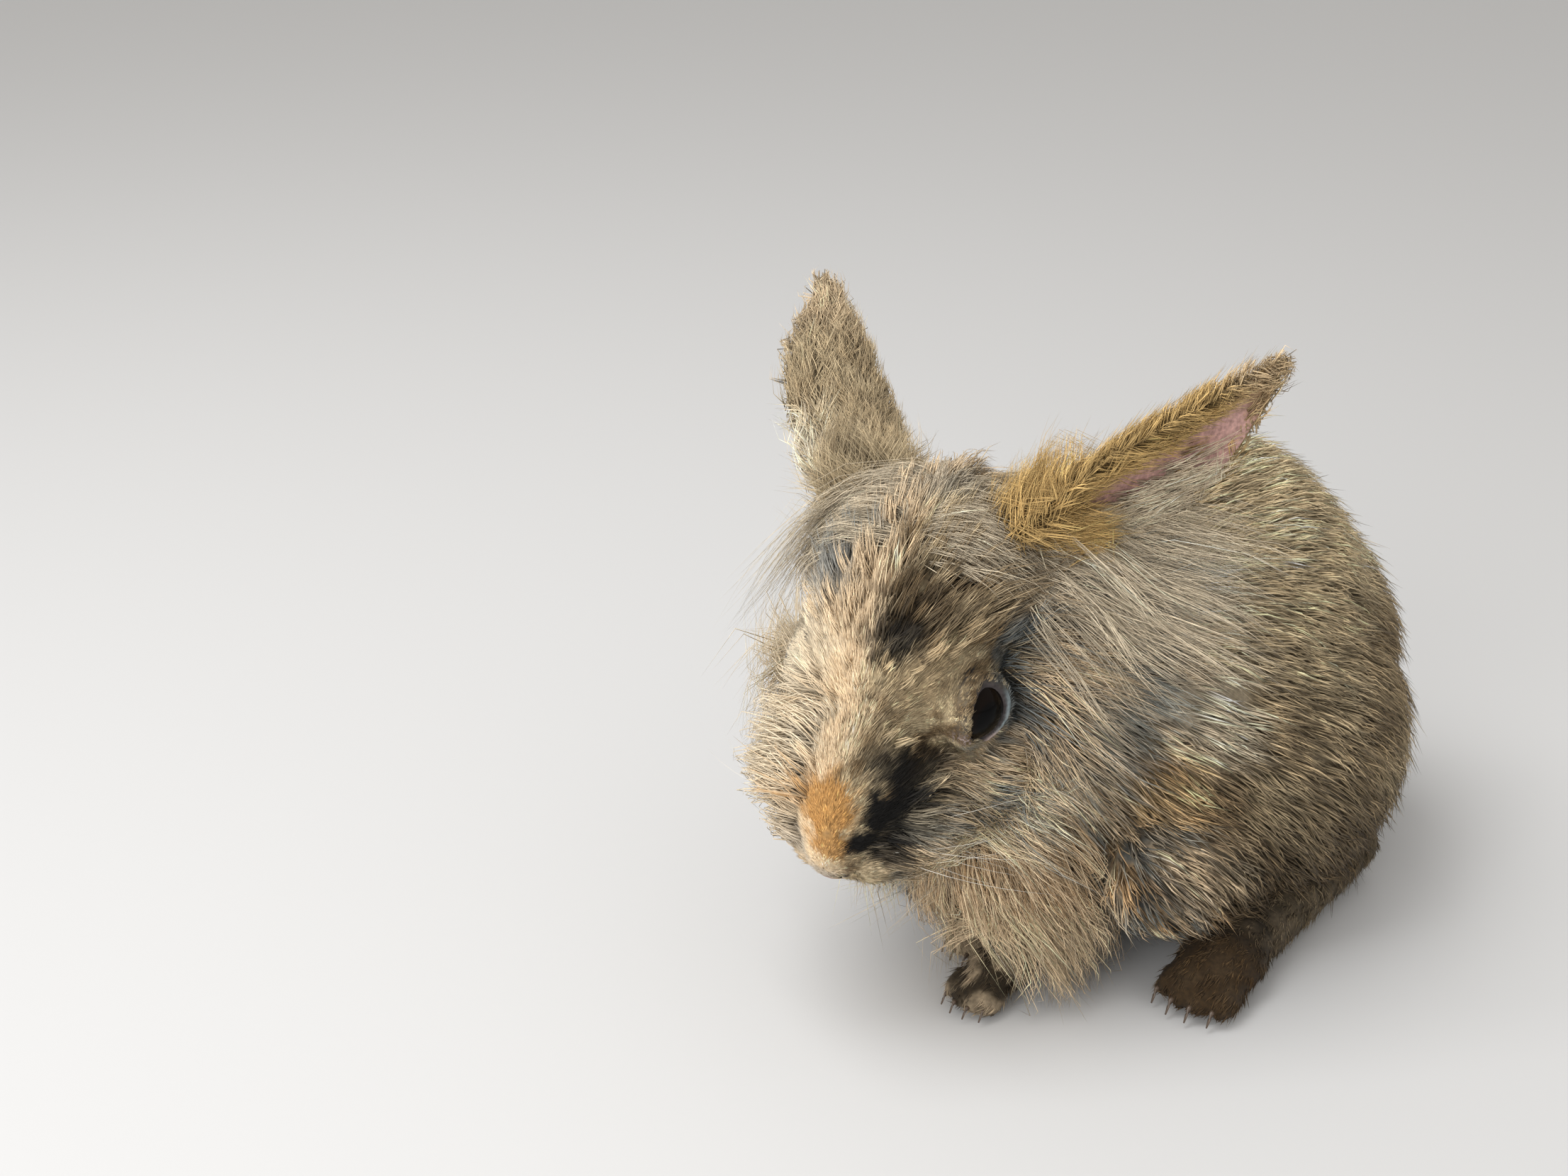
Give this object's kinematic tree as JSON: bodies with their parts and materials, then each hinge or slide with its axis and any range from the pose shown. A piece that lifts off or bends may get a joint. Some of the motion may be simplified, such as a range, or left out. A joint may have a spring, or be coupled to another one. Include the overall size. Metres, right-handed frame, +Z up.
{
  "type": "lionhead rabbit",
  "caption": "Life-size still model of a lionhead rabbit, crouched with its head low and its ears held back, with a ruff of long locks round its head.",
  "frame": {"origin": "on the floor, under the middle of the whole model's box", "axes": "+Z up, the rabbit's body faces -Y, its left is +X"},
  "size_m": [0.153, 0.2164, 0.1566],
  "materials": {
    "face_fur": "short soft fur, cream and orange on one side and brindled grey on the other",
    "mane_fur": "long soft fur, cream and grey",
    "body_fur": "dense ticked fur, fawn over dark grey",
    "leg_fur": "short dense fur, fawn and grey",
    "ear_fur": "short golden tan fur",
    "eye": "wet and very glossy"
  },
  "bodies": {
    "root": {"head": "face_fur", "neck": "mane_fur", "torso": "body_fur", "tail": "body_fur", "foreleg_left": "leg_fur", "foreleg_right": "leg_fur", "hind_leg_left": "leg_fur", "hind_leg_right": "leg_fur", "ear_left": "ear_fur", "ear_right": "ear_fur", "eye_left": "eye", "eye_right": "eye"}
  },
  "joints": []
}
